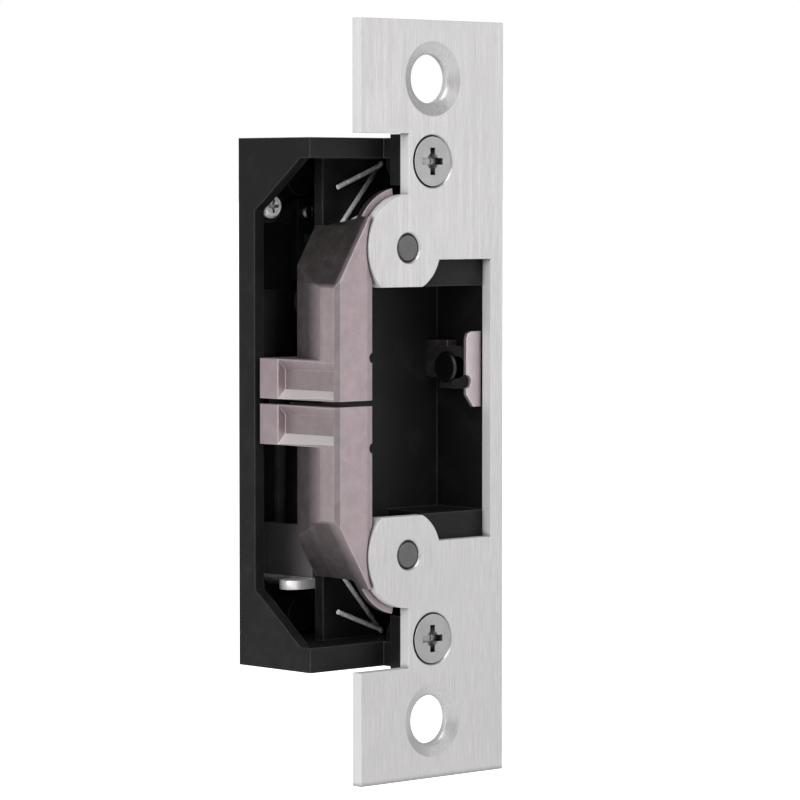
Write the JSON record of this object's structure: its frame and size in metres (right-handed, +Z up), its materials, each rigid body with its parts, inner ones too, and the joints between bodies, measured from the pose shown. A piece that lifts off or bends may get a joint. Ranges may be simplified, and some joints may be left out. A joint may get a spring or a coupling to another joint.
{
  "type": "electric door strike",
  "caption": "Mortise electric door strike: steel faceplate, two keepers that swing apart on its ears, and a housing with lock lever, solenoid and latch monitor.",
  "frame": {"origin": "centre of the faceplate's front face, midway between its two mounting holes", "axes": "+X towards the closed side of the strike (keepers open towards -X), +Y into the door frame, +Z up along the faceplate"},
  "size_m": [0.0374, 0.033, 0.1238],
  "materials": {
    "satin_stainless": "satin brushed stainless steel, grain along the height",
    "cast_stainless": "cast stainless steel, bead blasted, slightly warm grey",
    "black_coat": "semi-gloss black coating on die-cast metal",
    "zinc_steel": "zinc plated steel",
    "dark_steel": "dark oxide on hardened steel",
    "solenoid_steel": "bent strip steel, dull zinc",
    "plunger_steel": "ground and nickel plated steel",
    "spring_steel": "drawn spring wire",
    "bush_bronze": "sintered bronze",
    "coil_tape": "black tape over enamelled copper",
    "black_plastic": "moulded black plastic",
    "board_black": "black solder mask",
    "pin_brass": "gold flashed brass",
    "wire_red": "PVC insulation"
  },
  "bodies": {
    "housing_body": {"faceplate": "satin_stainless", "housing": "black_coat", "rear_cover": "black_coat", "cover_screws": "zinc_steel", "faceplate_screws": "zinc_steel", "pivot_pins": "dark_steel", "keeper_spring_upper": "spring_steel", "keeper_spring_lower": "spring_steel", "lever_pin": "zinc_steel", "solenoid_frame": "solenoid_steel", "solenoid_pole": "solenoid_steel", "solenoid_bobbin": "black_plastic", "solenoid_coil": "coil_tape", "solenoid_screws": "zinc_steel", "plunger_spring": "spring_steel", "trigger_screw": "dark_steel", "trigger_spring": "spring_steel", "monitor_switch": "black_plastic", "switch_leaf": "spring_steel", "switch_screws": "zinc_steel", "circuit_board": "board_black", "board_parts": "black_plastic", "board_screws": "zinc_steel", "connector_socket": "black_plastic", "connector_pins": "pin_brass", "lead_wires": "wire_red", "recess_screw": "dark_steel"},
    "upper_keeper_body": {"keeper_upper": "cast_stainless", "keeper_bush_upper": "bush_bronze"},
    "lower_keeper_body": {"keeper_lower": "cast_stainless", "keeper_bush_lower": "bush_bronze"},
    "lever_body": {"lock_lever": "dark_steel"},
    "plunger_body": {"solenoid_plunger": "plunger_steel", "link_pin": "dark_steel", "plunger_clip": "dark_steel"},
    "trigger_body": {"latch_trigger": "cast_stainless"}
  },
  "joints": [
    {"name": "upper_keeper_swing", "type": "hinge", "parent": "housing_body", "child": "upper_keeper_body", "pos_m": [-0.00535, 0.006, 0.02495], "axis": [0, 1, 0], "range_deg": [0, 55], "deforming": ["keeper_spring_upper"]},
    {"name": "lower_keeper_swing", "type": "hinge", "parent": "housing_body", "child": "lower_keeper_body", "pos_m": [-0.00535, 0.006, -0.02495], "axis": [0, -1, 0], "range_deg": [0, 55], "deforming": ["keeper_spring_lower"]},
    {"name": "lock_lever_turn", "type": "hinge", "parent": "housing_body", "child": "lever_body", "pos_m": [-0.0055, 0.018, 0.016], "axis": [-1, 0, 0], "range_deg": [0, 11]},
    {"name": "plunger_slide", "type": "slide", "parent": "housing_body", "child": "plunger_body", "axis": [0, 0, -1], "range_m": [0, 0.0013], "deforming": ["plunger_spring"]},
    {"name": "trigger_slide", "type": "slide", "parent": "housing_body", "child": "trigger_body", "axis": [0, 1, 0], "range_m": [0, 0.0024], "deforming": ["trigger_spring", "switch_leaf"]}
  ],
  "couplings": [
    {"joint": "plunger_slide", "follows": "lock_lever_turn", "m_per_rad": 0.0062}
  ]
}
